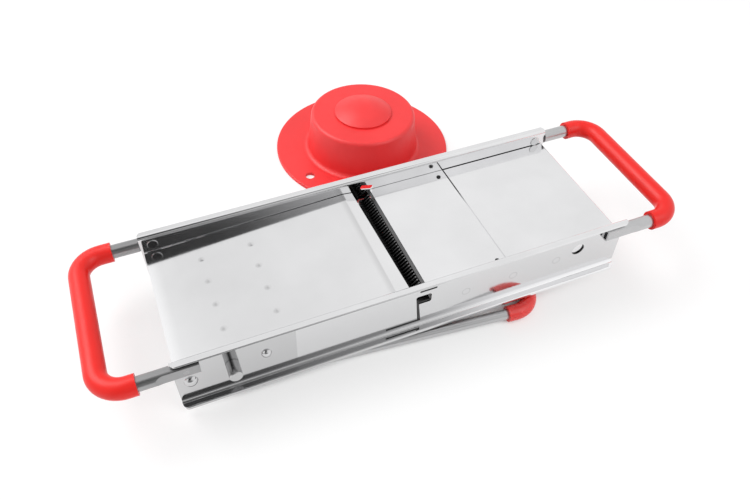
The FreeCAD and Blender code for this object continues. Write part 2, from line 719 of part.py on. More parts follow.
def ramp_stiffener():
    """Hat-shaped channel welded under the ramp, its two flanges along the rows of welds."""
    left, right = WELD_ROWS_X
    half = STIFFENER_FLANGE / 2

    def under(x, depth):
        return (x, ramp_top(x) - SHEET - depth)

    deep = STIFFENER_DEPTH
    outline = [
        under(left - half, 0),
        under(left + half, 0),
        under(left + half, deep - SHEET),
        under(right - half, deep - SHEET),
        under(right - half, 0),
        under(right + half, 0),
        under(right + half, SHEET),
        under(right - half + SHEET, SHEET),
        under(right - half + SHEET, deep),
        under(left + half - SHEET, deep),
        under(left + half - SHEET, SHEET),
        under(left - half, SHEET),
    ]
    side = WELD_Y + STIFFENER_OVERHANG_Y
    return prism_y(outline, -side, side)


def guide_rivets():
    """Shouldered rivets through the rails, with a plain tail that runs in the ramp's slots."""
    tail = ramp_side() - SHEET - GUIDE_TAIL
    pin = rod_y(GUIDE_X, GUIDE_Z, GUIDE_PIN_D / 2, tail, WALL_OUT)
    return both_sides(pin.fuse(dome_head(GUIDE_X, GUIDE_Z, WALL_OUT, GUIDE_HEAD_D, GUIDE_HEAD_HEIGHT, 1)))


def thickness_shaft():
    near_end = -WALL_OUT - KNOB_GAP
    far_end = WALL_OUT + KNOB_GAP + CLIP_THICKNESS + SHAFT_TAIL
    return rod_y(SHAFT_X, SHAFT_Z, SHAFT_D / 2, near_end, far_end)


def cam_radius(turn):
    """Spiral radius of the cam at an angle from its high point, so that the ramp falls evenly."""
    arm = SHAFT_X - RAMP_HINGE_X
    drop = arm * math.tan(math.radians(RAMP_ANGLE * turn / CAM_TURN))
    high = ramp_top(SHAFT_X) - SHEET - SHAFT_Z - CAM_GAP
    return high - drop


def thickness_cams():
    """Two spiral cams pinned on the shaft, one near each end."""
    steps = 24
    turns = [-CAM_SPARE_TURN + (CAM_TURN + 2 * CAM_SPARE_TURN) * k / steps for k in range(steps + 1)]
    y0 = CAM_Y - CAM_WIDTH / 2
    points = []
    for turn in turns:
        angle = math.radians(turn)
        radius = cam_radius(turn)
        points.append(Vector(SHAFT_X - radius * math.sin(angle), y0, SHAFT_Z + radius * math.cos(angle)))
    spiral = Part.BSplineCurve()
    spiral.interpolate(points)
    back = Part.makeLine(points[-1], points[0])
    cam = Part.Face(Part.Wire([spiral.toShape(), back])).extrude(Vector(0, CAM_WIDTH, 0))
    hub_r = SHAFT_D / 2 + SHEET
    hub = rod_y(SHAFT_X, SHAFT_Z, hub_r, y0 - SHEET, y0 + CAM_WIDTH)
    bore = rod_y(SHAFT_X, SHAFT_Z, SHAFT_D / 2, y0 - SHEET, y0 + CAM_WIDTH)
    return both_sides(cam.fuse(hub).cut(bore).removeSplitter())


def thickness_knob():
    root = -WALL_OUT - KNOB_GAP
    knob = rod_y(SHAFT_X, SHAFT_Z, KNOB_D / 2, root - KNOB_LENGTH, root)
    rim = [edge for edge in knob.Edges if near(edge.CenterOfMass.y, root - KNOB_LENGTH)]
    return knob.makeChamfer(KNOB_CHAMFER, rim)


def shaft_clip():
    y0 = WALL_OUT + KNOB_GAP
    clip = rod_y(SHAFT_X, SHAFT_Z, CLIP_D / 2, y0, y0 + CLIP_THICKNESS)
    return clip.cut(rod_y(SHAFT_X, SHAFT_Z, SHAFT_D / 2, y0, y0 + CLIP_THICKNESS))


def leg_axis_z(x):
    """Height of the leg's long straight runs."""
    return LEG_FOOT_Z + LEG_SLOPE * (LEG_FOOT_X - x)


def leg_axis_y(x):
    """Distance of the leg's long runs from the middle plane."""
    return LEG_FOOT_Y + (LEG_PIVOT_Y - LEG_FOOT_Y) * (LEG_FOOT_X - x) / (LEG_FOOT_X - LEG_CRANK_X)


def leg_wire():
    """Axis of the whole leg from one pivot round its foot to the other."""
    crank = Vector(LEG_CRANK_X, -leg_axis_y(LEG_CRANK_X), leg_axis_z(LEG_CRANK_X))
    pivot = Vector(LEG_PIVOT_X, crank.y, LEG_PIVOT_Z)
    foot = Vector(LEG_FOOT_X, -LEG_FOOT_Y, LEG_FOOT_Z)
    points = [pivot, crank, foot]
    points += [Vector(p.x, -p.y, p.z) for p in reversed(points)]
    radii = (LEG_CRANK_BEND, LEG_CORNER_BEND, LEG_CORNER_BEND, LEG_CRANK_BEND)
    return bent_wire(points, radii)


def leg_foot_wire():
    start = LEG_GRIP_START_X
    near_end = Vector(start, -leg_axis_y(start), leg_axis_z(start))
    foot = Vector(LEG_FOOT_X, -LEG_FOOT_Y, LEG_FOOT_Z)
    points = [near_end, foot, Vector(foot.x, -foot.y, foot.z), Vector(near_end.x, -near_end.y, near_end.z)]
    return bent_wire(points, (LEG_CORNER_BEND, LEG_CORNER_BEND))


def leg_tube():
    """Splayed U of tube with rounded closed ends, cross-drilled there for the pivot rivets."""
    tube = tube_along(leg_wire(), LEG_TUBE_R, LEG_TUBE_R - LEG_TUBE_WALL)
    end = Part.makeSphere(LEG_TUBE_R, Vector(LEG_PIVOT_X, LEG_PIVOT_Y, LEG_PIVOT_Z))
    tube = tube.fuse([end, mirrored(end)])
    hole = rod_y(LEG_PIVOT_X, LEG_PIVOT_Z, LEG_PIN_D / 2 + RUNNING_GAP, LEG_PIVOT_Y - LEG_TUBE_D,
                 LEG_PIVOT_Y + LEG_TUBE_D)
    return tube.cut([hole, mirrored(hole)])


def leg_grip():
    return tube_along(leg_foot_wire(), LEG_GRIP_R, LEG_TUBE_R + RUNNING_GAP)


def leg_pivot_rivets():
    """Rivets through the rails, the bushes and the leg's ends, with a flat head inside."""
    inner = LEG_PIVOT_Y - LEG_TUBE_R - LEG_SIDE_GAP
    pin = rod_y(LEG_PIVOT_X, LEG_PIVOT_Z, LEG_PIN_D / 2, inner, WALL_OUT)
    head = dome_head(LEG_PIVOT_X, LEG_PIVOT_Z, WALL_OUT, LEG_HEAD_D, LEG_HEAD_HEIGHT, 1)
    foot = rod_y(LEG_PIVOT_X, LEG_PIVOT_Z, LEG_PIN_D, inner - LEG_INNER_HEAD_HEIGHT, inner)
    return both_sides(pin.fuse([head, foot]))


def leg_pivot_bushes():
    outer = LEG_PIVOT_Y + LEG_TUBE_R + LEG_SIDE_GAP
    bush = rod_y(LEG_PIVOT_X, LEG_PIVOT_Z, LEG_BUSH_D / 2, outer, WALL_IN)
    return both_sides(bush.cut(rod_y(LEG_PIVOT_X, LEG_PIVOT_Z, LEG_PIN_D / 2 + RUNNING_GAP, outer, WALL_IN)))


def julienne_carrier():
    side = WALL_OUT - INSERT_END_INSET
    return prism_y(insert_outline(0, 0, 0), -side, side)


def julienne_comb():
    """Strip of thin raked teeth standing on the carrier's upper arm."""
    side = WALL_IN - COMB_END_MARGIN
    count = int((2 * side - TOOTH_THICKNESS) / TOOTH_PITCH) + 1
    first = -TOOTH_PITCH * (count - 1) / 2
    base = box(COMB_LEFT, COMB_RIGHT, -side, side, INSERT_TOP, INSERT_TOP + COMB_BASE)
    outline = [
        (COMB_LEFT, INSERT_TOP),
        (TOOTH_TIP_X - TOOTH_TIP, INSERT_TOP + TOOTH_HEIGHT),
        (TOOTH_TIP_X, INSERT_TOP + TOOTH_HEIGHT),
        (COMB_RIGHT, INSERT_TOP),
    ]
    teeth = []
    for k in range(count):
        y = first + TOOTH_PITCH * k
        teeth.append(prism_y(outline, y - TOOTH_THICKNESS / 2, y + TOOTH_THICKNESS / 2))
    return base.fuse(teeth).removeSplitter()


def turned(outline):
    """A closed outline of radius and height, turned about the pusher's axis."""
    points = [Vector(r, 0, z) for r, z in outline]
    face = Part.Face(Part.makePolygon(points + points[:1]))
    return face.revolve(Vector(0, 0, 0), Vector(0, 0, 1), 360)


def ring(radius, height):
    """Picks the round edge of a turned piece that has this radius at this height."""
    def chosen(middle, edge):
        curve = edge.Curve
        return hasattr(curve, "Radius") and near(curve.Radius, radius) and near(curve.Center.z, height)
    return chosen


def pusher_brim():
    """Flat ring of the hat, open in the middle, with its hanging hole."""
    brim_r = BRIM_D / 2
    mouth_r = CROWN_BASE_D / 2 - CROWN_WALL
    brim = turned([(mouth_r, 0), (brim_r, 0), (brim_r, BRIM_THICKNESS), (mouth_r, BRIM_THICKNESS)])
    brim = round_edges(brim, BRIM_EDGE_ROUND, ring(brim_r, BRIM_THICKNESS))
    return brim.cut(rod_z(HANG_HOLE_X, HANG_HOLE_Y, HANG_HOLE_D / 2, -SHEET, BRIM_THICKNESS + SHEET))


def crown_shell():
    """The whole crown above the brim: slanted wall, rounded shoulder and bored top."""
    base_r = CROWN_BASE_D / 2
    top_r = base_r - CROWN_TAPER
    stem_r = STEM_D / 2 + STEM_GAP
    step_z = BRIM_THICKNESS + CROWN_FOOT_STEP
    shell = turned([
        (stem_r, CROWN_HEIGHT),
        (top_r, CROWN_HEIGHT),
        (base_r, step_z),
        (base_r + CROWN_FOOT_ROUND, step_z),
        (base_r + CROWN_FOOT_ROUND, BRIM_THICKNESS),
        (base_r - CROWN_WALL, BRIM_THICKNESS),
        (top_r - CROWN_WALL, CROWN_HEIGHT - CROWN_WALL),
        (stem_r, CROWN_HEIGHT - CROWN_WALL),
    ])
    shell = round_edges(shell, CROWN_TOP_ROUND, ring(top_r, CROWN_HEIGHT))
    return round_edges(shell, CROWN_FOOT_ROUND, ring(base_r, step_z))


def crown_band(z0, z1):
    """The part of the crown between two heights."""
    half = CROWN_BASE_D
    return crown_shell().common(box(-half, half, -half, half, z0, z1))


def pusher_crown():
    return crown_band(BRIM_THICKNESS, CROWN_HEIGHT - CROWN_CAP_DEPTH)


def pusher_top():
    return crown_band(CROWN_HEIGHT - CROWN_CAP_DEPTH, CROWN_HEIGHT)


def plunger_head():
    """Domed button resting on the crown, with a socket for the stem below."""
    radius = DOME_D / 2
    ball = (radius ** 2 + DOME_RISE ** 2) / (2 * DOME_RISE)
    rim_top = CROWN_HEIGHT + DOME_RIM
    rim = rod_z(0, 0, radius, CROWN_HEIGHT, rim_top)
    cap = Part.makeSphere(ball, Vector(0, 0, rim_top + DOME_RISE - ball))
    cap = cap.common(box(-DOME_D, DOME_D, -DOME_D, DOME_D, rim_top, rim_top + DOME_RISE))
    spigot = rod_z(0, 0, DOME_SPIGOT_D / 2, CROWN_HEIGHT - DOME_SPIGOT_DEPTH, CROWN_HEIGHT)
    return rim.fuse([cap, spigot]).removeSplitter()


def plunger_stem():
    top = CROWN_HEIGHT
    low = SPIKE_PLATE_HEIGHT + SPIKE_PLATE_THICKNESS
    stem = rod_z(0, 0, STEM_D / 2, low, top)
    socket = rod_z(0, 0, DOME_SPIGOT_D / 2, top - DOME_SPIGOT_DEPTH, top)
    thread = rod_z(0, 0, STEM_SCREW_D / 2, low, low + STEM_SCREW_DEPTH)
    return stem.cut([socket, thread])


def spike_places():
    places = []
    for ring_r in SPIKE_RING_RADII:
        count = round(2 * math.pi * ring_r / SPIKE_PITCH)
        for k in range(count):
            angle = 2 * math.pi * (k + 0.5) / count
            places.append((ring_r * math.cos(angle), ring_r * math.sin(angle)))
    return places


def spike_plate():
    z0 = SPIKE_PLATE_HEIGHT
    z1 = z0 + SPIKE_PLATE_THICKNESS
    plate = rod_z(0, 0, SPIKE_PLATE_D / 2, z0, z1)
    holes = [rod_z(x, y, SPIKE_D / 2, z0, z1) for x, y in spike_places()]
    return plate.cut(holes + [rod_z(0, 0, STEM_SCREW_D / 2, z0, z1)])


def plunger_spikes():
    """Pointed pins pressed through the plate."""
    low = SPIKE_PLATE_HEIGHT - SPIKE_LENGTH
    spikes = []
    for x, y in spike_places():
        shank = rod_z(x, y, SPIKE_D / 2, low + SPIKE_POINT, SPIKE_PLATE_HEIGHT + SPIKE_PLATE_THICKNESS)
        point = Part.makeCone(0, SPIKE_D / 2, SPIKE_POINT, Vector(x, y, low), Vector(0, 0, 1))
        spikes.append(shank.fuse(point).removeSplitter())
    return Part.makeCompound(spikes)


def stem_screw():
    z0 = SPIKE_PLATE_HEIGHT
    head = rod_z(0, 0, STEM_SCREW_HEAD_D / 2, z0 - STEM_SCREW_HEAD_HEIGHT, z0)
    shank = rod_z(0, 0, STEM_SCREW_D / 2, z0, z0 + SPIKE_PLATE_THICKNESS + STEM_SCREW_DEPTH)
    return head.fuse(shank).removeSplitter()


def resting_tilt():
    """Angle by which the slicer's foot end rises when it lies on its folded leg.

    It rests on the outside of the crank bends and on the near end of the foot sleeve, so the floor
    is the line under that bend's circle and through the lowest point of the sleeve's end.
    """
    crank = Vector(LEG_CRANK_X, 0, leg_axis_z(LEG_CRANK_X))
    up = (Vector(LEG_PIVOT_X, 0, LEG_PIVOT_Z) - crank).normalize()
    along = Vector(1, 0, -LEG_SLOPE).normalize()
    half = up.getAngle(along) / 2
    centre = crank + (up + along).normalize() * (LEG_CRANK_BEND / math.sin(half))
    foot_x = LEG_GRIP_START_X
    foot_z = leg_axis_z(foot_x) - LEG_GRIP_R
    dx = foot_x - centre.x
    dz = foot_z - centre.z
    slope = math.atan2(dz, dx) + math.asin((LEG_CRANK_BEND + LEG_TUBE_R) / math.hypot(dx, dz))
    return -math.degrees(slope)


TILT = resting_tilt()
FLOOR = leg_grip().rotated(Vector(0, 0, 0), Vector(0, 1, 0), -TILT).optimalBoundingBox().ZMin


def place(shape):
    """Tip a piece of the slicer onto its folded leg and stand it on the floor."""
    return shape.rotated(Vector(0, 0, 0), Vector(0, 1, 0), -TILT).translated(Vector(0, 0, -FLOOR))


def stand(shape):
    """Put a piece of the pusher where the pusher stands."""
    return shape.translated(Vector(PUSHER_X, PUSHER_Y, 0))


def slicer_pieces():
    left_grip = handle_grip(LEFT_HANDLE_REACH, LEFT_GRIP_FAR_EXTRA)
    return {
        "near_side_rail": mirrored(side_rail(near_rail_holes)),
        "far_side_rail": side_rail(far_rail_holes),
        "table_carrier": table_carrier(),
        "fixed_table": fixed_table(),
        "blade_plate": blade_plate(),
        "main_blade": main_blade(),
        "blade_screws": blade_screws(),
        "blade_nuts": blade_nuts(),
        "left_handle_tube": turned_end_for_end(handle_tube(LEFT_HANDLE_REACH)),
        "right_handle_tube": handle_tube(RIGHT_HANDLE_REACH),
        "left_grip": turned_end_for_end(left_grip),
        "right_grip": handle_grip(RIGHT_HANDLE_REACH, 0),
        "handle_rivets": handle_rivets(),
        "ramp_hinge_rod": hinge_rod(),
        "ramp_plate": ramp_plate(),
        "ramp_stiffener": ramp_stiffener(),
        "ramp_guide_rivets": guide_rivets(),
        "thickness_shaft": thickness_shaft(),
        "thickness_cams": thickness_cams(),
        "thickness_knob": thickness_knob(),
        "shaft_clip": shaft_clip(),
        "leg_tube": leg_tube(),
        "leg_grip": leg_grip(),
        "leg_pivot_rivets": leg_pivot_rivets(),
        "leg_pivot_bushes": leg_pivot_bushes(),
        "julienne_carrier": julienne_carrier(),
        "julienne_comb": julienne_comb(),
    }


def pusher_pieces():
    return {
        "pusher_brim": pusher_brim(),
        "pusher_crown": pusher_crown(),
        "pusher_top": pusher_top(),
        "plunger_head": plunger_head(),
        "plunger_stem": plunger_stem(),
        "spike_plate": spike_plate(),
        "plunger_spikes": plunger_spikes(),
        "stem_screw": stem_screw(),
    }


os.makedirs("parts", exist_ok=True)
pieces = {name: place(shape) for name, shape in slicer_pieces().items()}
pieces.update({name: stand(shape) for name, shape in pusher_pieces().items()})

# The origin is the middle of the rectangle that slicer and pusher together cover on the floor.
extent = Part.makeCompound(list(pieces.values())).optimalBoundingBox()
ORIGIN = Vector(extent.Center.x, extent.Center.y, extent.ZMin)
for name, shape in pieces.items():
    shape.translate(ORIGIN * -1)
    shape.exportStep(f"parts/{name}.step")
    print(f"{name}: {len(shape.Solids)} solids, volume {shape.Volume:.1f}, valid {shape.isValid()}")
print(f"tilt {TILT:.5f} degrees, floor {FLOOR:.5f}, ramp angle {RAMP_ANGLE:.5f}")
print(f"origin {ORIGIN.x:.5f} {ORIGIN.y:.5f} {ORIGIN.z:.5f}")
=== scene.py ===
import json
import math

import bpy
from mathutils import Matrix, Vector


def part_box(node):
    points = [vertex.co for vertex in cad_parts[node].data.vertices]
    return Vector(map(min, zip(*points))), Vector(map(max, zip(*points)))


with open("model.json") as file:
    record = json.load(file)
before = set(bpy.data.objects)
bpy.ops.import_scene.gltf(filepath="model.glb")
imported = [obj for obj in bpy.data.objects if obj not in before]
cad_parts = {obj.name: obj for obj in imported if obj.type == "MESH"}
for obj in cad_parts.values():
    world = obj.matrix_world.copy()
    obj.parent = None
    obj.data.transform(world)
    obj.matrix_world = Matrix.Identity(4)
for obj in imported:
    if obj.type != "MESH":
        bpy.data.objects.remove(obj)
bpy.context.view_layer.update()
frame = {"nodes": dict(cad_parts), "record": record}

nodes = frame["nodes"]
scene = bpy.context.scene
scene.view_settings.view_transform = "Standard"

# The camera's place and axes in the row frame, found from the photograph, and its lens.
CAMERA_PLACE = (-0.14908, -0.39088, 0.39701)
CAMERA_RIGHT = (0.92470, -0.37895, 0.03650)
CAMERA_UP = (0.25250, 0.68223, 0.68615)
CAMERA_VIEW = (0.28492, 0.62526, -0.72654)
FOCAL_PIXELS = 702.5
IMAGE_WIDTH = 750.0
SENSOR_WIDTH = 36.0
CLIP_NEAR = 0.01
CLIP_FAR = 100.0

# How the grain of steel is stretched: drawn along the slicer, or across it.
ALONG = (0.02, 1.0, 1.0)
ACROSS = (1.0, 0.02, 1.0)

# Steel finishes: darkest and lightest grey, least and most roughness, grain, strength of the grain.
POLISHED = (0.78, 0.86, 0.08, 0.12, ALONG, 0.012)
SATIN = (0.80, 0.86, 0.10, 0.14, ALONG, 0.02)
STEELS = {
    "polished_steel": POLISHED,
    "satin_steel": SATIN,
    "blade_steel": (0.13, 0.155, 0.22, 0.32, ACROSS, 0.08),
    "dark_steel": (0.018, 0.03, 0.30, 0.40, ACROSS, 0.06),
    "tube_steel": (0.52, 0.58, 0.28, 0.34, ALONG, 0.05),
    "small_steel": (0.60, 0.66, 0.10, 0.16, ACROSS, 0.02),
}

# Pieces with a steel of their own: its name and its finish.
OWN_STEELS = {
    "near_side_rail": ("near_rail_steel", POLISHED),
    "ramp_plate": ("ramp_steel", SATIN),
    "table_carrier": ("carrier_steel", SATIN),
    "blade_screws": ("screw_steel", (0.02, 0.05, 0.35, 0.45, ACROSS, 0.03)),
    "thickness_knob": ("knob_steel", (0.34, 0.42, 0.16, 0.22, ACROSS, 0.03)),
    "julienne_comb": ("comb_steel", (0.050, 0.068, 0.42, 0.50, ACROSS, 0.05)),
    "julienne_carrier": ("insert_steel", (0.055, 0.075, 0.38, 0.46, ACROSS, 0.05)),
    "handle_rivets": ("rivet_steel", (0.70, 0.76, 0.12, 0.18, ACROSS, 0.02)),
    # The left handle's tube is a darker copy of the tube steel: painted shade.
    "left_handle_tube": ("shaded_left_tube_steel", (0.34, 0.40, 0.28, 0.34, ALONG, 0.05)),
}

# Red finishes: two tones, least and most roughness, size and strength of the skin's grain, shine.
GRIP_RED = ((0.81, 0.013, 0.008), (0.75, 0.010, 0.006))
PLASTIC_RED = ((0.82, 0.026, 0.028), (0.76, 0.021, 0.023))
REDS = {
    "red_grip": (*GRIP_RED, 0.30, 0.38, 900.0, 0.10, 0.35),
    "red_plastic": (*PLASTIC_RED, 0.40, 0.48, 1400.0, 0.08, 0.5),
}
FOOT_RED = (*GRIP_RED, 0.22, 0.30, 900.0, 0.06, 0.8)

# Sizes of the noises in the finishes, and the depth of their relief in metres.
STEEL_CLOUDS = 22.0
STEEL_GRAIN = 900.0
STEEL_POLISH = 60.0
POLISH_STRETCH = (0.4, 1.0, 1.0)
STEEL_DEPTH = 0.0001
RED_CLOUDS = 30.0
RED_SHEEN = 140.0
RED_DEPTH = 0.0002

# The middle of a noise's range, where nearly all of its values lie.
NOISE_LOW = 0.3
NOISE_HIGH = 0.7

# Blue in the greys of steel, against their red and green.
STEEL_BLUE = 1.01

# The slicer's own level frame in millimetres, as the CAD draws it, and its place in the row frame.
TILT = math.radians(1.76041)
LIFT = 10.42858
MIDDLE = (-0.67067, 81.58251)
RAIL_TOP = 46.3
MM_IN_METRE = 1000

# The near rail, in the slicer's millimetres: its wall, and places on it as x and drop.
NEAR_WALL = -53.75
NEAR_WALL_INSIDE = -52.75
WALL_MIDDLE = (NEAR_WALL + NEAR_WALL_INSIDE) / 2
FLANGE_DROP = 1.0
LEDGE_DROP = 40.4
# Where the painted darker reflection on the wall's left end stops.
PAINTED_SHADE_END = (-83.2, 23)
RAIL_WELDS = ((36.9, 24.2), (73.3, 23.4), (107.7, 22.1))
ROUND_HOLE = (124.4, 17.4)
SLIT_START = 2.6
SLIT_PITCH = 0.9
SLIT_SPOTS = 13
SLIT_DROP = 9.4
EDGE_TOP = 0.4
EDGE_BOTTOM = 1.6

# Sizes of the near rail's marks, and where they end along the row frame's X and Y, in metres.
# A pair is the radius where a mark starts to fade and the radius where it ends.
# Where the ledge's painted reflection turns from dark to bright.
LEDGE_TURN = 0.00
LEDGE_BLEND = 0.08
RAIL_WELD_RADIUS = 0.0029
RAIL_WELD_LINE = 0.0007
# The rims of the round hole and the slit, painted dark as shade.
HOLE_RIM = (0.00487, 0.00496)
SLIT_RIM = (0.00094, 0.00106)
# The flange's edge, painted dark as a reflection.
EDGE_BACK = -0.1375
EDGE_FRONT = -0.1381
EDGE_RIGHT = 0.08
EDGE_FADE = 0.16

# The ramp's spot welds, two rows on its slope, in the slicer's millimetres.
RAMP_WELD_ROWS = (-123.5, -88.7)
RAMP_WELD_PITCH = 20.9
RAMP_WELDS_IN_ROW = 4
RAMP_WELD_DROP = 13.4
RAMP_SLOPE = 0.0375

# Sizes of the ramp's marks, its painted crease shade and its painted highlight, in metres.
RAMP_WELD_FADE = (0.0003, 0.0030)
CREASE_FROM_EDGE = 0.0105
CREASE_RIGHT = 0.001
CREASE_LEFT = 0.005
PAINTED_HIGHLIGHT_END = 0.009

# The carrier's painted shade along the row frame's Y, and its painted shade behind the slit, in metres.
SHADE_START = -0.075
SHADE_END = -0.050
SLIT_PAINTED_SHADE = (0.0020, 0.0024)

# How deep the knob's light end face goes, in metres.
KNOB_FACE_START = 0.0008
KNOB_FACE_END = 0.0003

# Where the painted darker reflection on the handles' rivets starts, in metres.
RIVET_NEAR_BLEND = 0.0002
RIVET_LEFT = 0.01
RIVET_LEFT_BLEND = 0.02

# Heights on the comb, where its painted shade and painted glints start and end, in metres.
TEETH_MIDDLE = 0.0412
COMB_BASE = 0.0373
TIP_START = 0.0417
TIP_END = 0.0422

# The floor, in metres, and its tones.
FLOOR_HALF = 6.0
FLOOR_DROP = 0.0002
FLOOR_TONES = ((0.95, 0.95, 0.95), (0.97, 0.97, 0.97))
FLOOR_CLOUDS = 3.0

# The share of plain white that the open floor shows, and how far and how much the space above it is open.
WHITE_SHARE = 0.55
OPEN_REACH = 0.08
OPEN_START = 0.10
OPEN_END = 0.48

# Two cards on a dome around the slicer, which only mirrors see. Angles are in degrees.
CARD_DISTANCE = 3.0
CARD_CENTRE = (-0.05, -0.08, 0.04)
FRONT_AZIMUTHS = range(-150, -38, 2)
FRONT_ELEVATIONS = range(0, 88, 2)
BACK_AZIMUTHS = range(20, 152, 2)
BACK_ELEVATIONS = range(20, 82, 2)

# The front card's levels: a fade read along a slant, with a gentler one low down and a haze high up.
FRONT_SLANT = 2.05
FRONT_FADE = ((-215, 0.02), (-195, 0.025), (-182, 0.045), (-174, 0.29),
              (-166, 0.60), (-158, 0.86), (-150, 1.0))
FRONT_LOW_FADE = ((-100, 0.24), (-88, 0.28), (-75, 0.58), (-60, 0.90), (-50, 1.0))
FRONT_HAZE = ((-92, 0.09), (-78, 0.36), (-66, 0.40))
LOW_TO_HIGH = (26, 40)
HAZE_RISE = (46, 54)
FRONT_LEFT_END = (-122, -145)
FRONT_TOP_END = (74, 86)

# The back card's levels by azimuth, and where it ends in white.
BACK_FADE = ((40, 0.94), (70, 0.95), (78, 0.89), (98, 0.86), (101, 0.91), (104, 1.0))
BACK_RIGHT_END = (35, 20)
BACK_LOW_END = (30, 20)
BACK_TOP_END = (65, 80)

# The world as it is shown, and its weaker fill light on the object.
WHITE = (1.0, 1.0, 1.0, 1.0)
SHOWN_STRENGTH = 1.0
FILL_STRENGTH = 0.58

# Lamps: name, size and place in metres, power in watts.
SOFTBOXES = (
    ("softbox_left", 1.3, (-0.97, 0.82, 1.41), 27.0),
    ("softbox_front", 0.9, (0.75, -0.85, 1.05), 6.0),
)


def new_material(name):
    material = bpy.data.materials.new(name)
    material.use_nodes = True
    tree = material.node_tree
    shader = tree.nodes["Principled BSDF"]
    return material, tree, shader


def noise(tree, scale, stretch=(1.0, 1.0, 1.0), detail=4.0, roughness=0.5):
    """Noise over the piece's own coordinates, stretched by the given factors."""
    coords = tree.nodes.new("ShaderNodeTexCoord")
    mapping = tree.nodes.new("ShaderNodeMapping")
    mapping.inputs["Scale"].default_value = stretch
    tree.links.new(coords.outputs["Object"], mapping.inputs["Vector"])
    texture = tree.nodes.new("ShaderNodeTexNoise")
    texture.inputs["Scale"].default_value = scale
    texture.inputs["Detail"].default_value = detail
    texture.inputs["Roughness"].default_value = roughness
    tree.links.new(mapping.outputs["Vector"], texture.inputs["Vector"])
    return texture.outputs["Fac"]


def spread(tree, value, low, high):
    """Map the middle of a noise to the given range."""
    remap = tree.nodes.new("ShaderNodeMapRange")
    remap.inputs["From Min"].default_value = NOISE_LOW
    remap.inputs["From Max"].default_value = NOISE_HIGH
    remap.inputs["To Min"].default_value = low
    remap.inputs["To Max"].default_value = high
    tree.links.new(value, remap.inputs["Value"])
    return remap.outputs["Result"]


def mixed(tree, value, first, second):
    """Two colours mixed over the middle of a noise."""
    mix = tree.nodes.new("ShaderNodeValToRGB")
    start, end = mix.color_ramp.elements
    start.position = NOISE_LOW
    end.position = NOISE_HIGH
    start.color = (*first, 1.0)
    end.color = (*second, 1.0)
    tree.links.new(value, mix.inputs["Fac"])
    return mix.outputs["Color"]


def bump(tree, shader, value, strength, distance):
    node = tree.nodes.new("ShaderNodeBump")
    node.inputs["Strength"].default_value = strength
    node.inputs["Distance"].default_value = distance
    tree.links.new(value, node.inputs["Height"])
    tree.links.new(node.outputs["Normal"], shader.inputs["Normal"])


def grey(level):
    return (level, level, level * STEEL_BLUE)


def steel(name, dark, light, smooth, rough, grain, strength):
    """Bare steel: cloudy tone, drawn grain and uneven polish."""
    material, tree, shader = new_material(name)
    shader.inputs["Metallic"].default_value = 1.0
    clouds = noise(tree, STEEL_CLOUDS, detail=3.0)
    lines = noise(tree, STEEL_GRAIN, grain, detail=5.0, roughness=0.6)
    polish = noise(tree, STEEL_POLISH, POLISH_STRETCH)
    tree.links.new(mixed(tree, clouds, grey(dark), grey(light)), shader.inputs["Base Color"])
    tree.links.new(spread(tree, polish, smooth, rough), shader.inputs["Roughness"])
    bump(tree, shader, lines, strength, STEEL_DEPTH)
    return material


def red(name, first, second, smooth, rough, skin, strength, shine):
    """Red moulding: slight tone change, dull sheen and a fine skin."""
    material, tree, shader = new_material(name)
    tree.links.new(mixed(tree, noise(tree, RED_CLOUDS), first, second), shader.inputs["Base Color"])
    tree.links.new(spread(tree, noise(tree, RED_SHEEN), smooth, rough), shader.inputs["Roughness"])
    shader.inputs["Specular IOR Level"].default_value = shine
    bump(tree, shader, noise(tree, skin, detail=6.0), strength, RED_DEPTH)
    return material


materials = {name: steel(name, *finish) for name, finish in STEELS.items()}
materials.update({name: red(name, *finish) for name, finish in REDS.items()})
own = {piece: steel(name, *finish) for piece, (name, finish) in OWN_STEELS.items()}
own["leg_grip"] = red("foot_red", *FOOT_RED)

for part in frame["record"]["subparts"]:
    node = nodes[part["node"]]
    node.data.materials.clear()
    node.data.materials.append(own.get(part["node"], materials[part["material_slot"]]))


def computed(tree, operation, first, second):
    """The result of a Math node on two values."""
    node = tree.nodes.new("ShaderNodeMath")
    node.operation = operation
    tree.links.new(first, node.inputs[0])
    tree.links.new(second, node.inputs[1])
    return node.outputs["Value"]


def both(tree, first, second):
    """A mask that is 1 only where two others are."""
    return computed(tree, "MULTIPLY", first, second)


def position(tree, axis):
    """One coordinate of the point on the piece, in metres."""
    coords = tree.nodes.new("ShaderNodeTexCoord")
    split = tree.nodes.new("ShaderNodeSeparateXYZ")
    tree.links.new(coords.outputs["Object"], split.inputs["Vector"])
    return split.outputs[axis]


def between(tree, value, start, end):
    """A smooth step from 0 at the start to 1 at the end."""
    step = tree.nodes.new("ShaderNodeMapRange")
    step.interpolation_type = "SMOOTHSTEP"
    step.inputs["From Min"].default_value = start
    step.inputs["From Max"].default_value = end
    tree.links.new(value, step.inputs["Value"])
    return step.outputs["Result"]


def spots(tree, centres, inner, outer):
    """1 inside small round marks on a piece, falling to 0 at the outer radius."""
    coords = tree.nodes.new("ShaderNodeTexCoord")
    total = None
    for centre in centres:
        away = tree.nodes.new("ShaderNodeVectorMath")
        away.operation = "DISTANCE"
        away.inputs[1].default_value = centre
        tree.links.new(coords.outputs["Object"], away.inputs[0])
        mark = between(tree, away.outputs["Value"], outer, inner)
        total = mark if total is None else computed(tree, "MAXIMUM", total, mark)
    return total


def rings(tree, centres, radius, width):
    """1 on small round outlines on a piece, falling to 0 within the given width."""
    outside = spots(tree, centres, radius, radius + width)
    inside = spots(tree, centres, radius - width, radius)
    return computed(tree, "SUBTRACT", outside, inside)


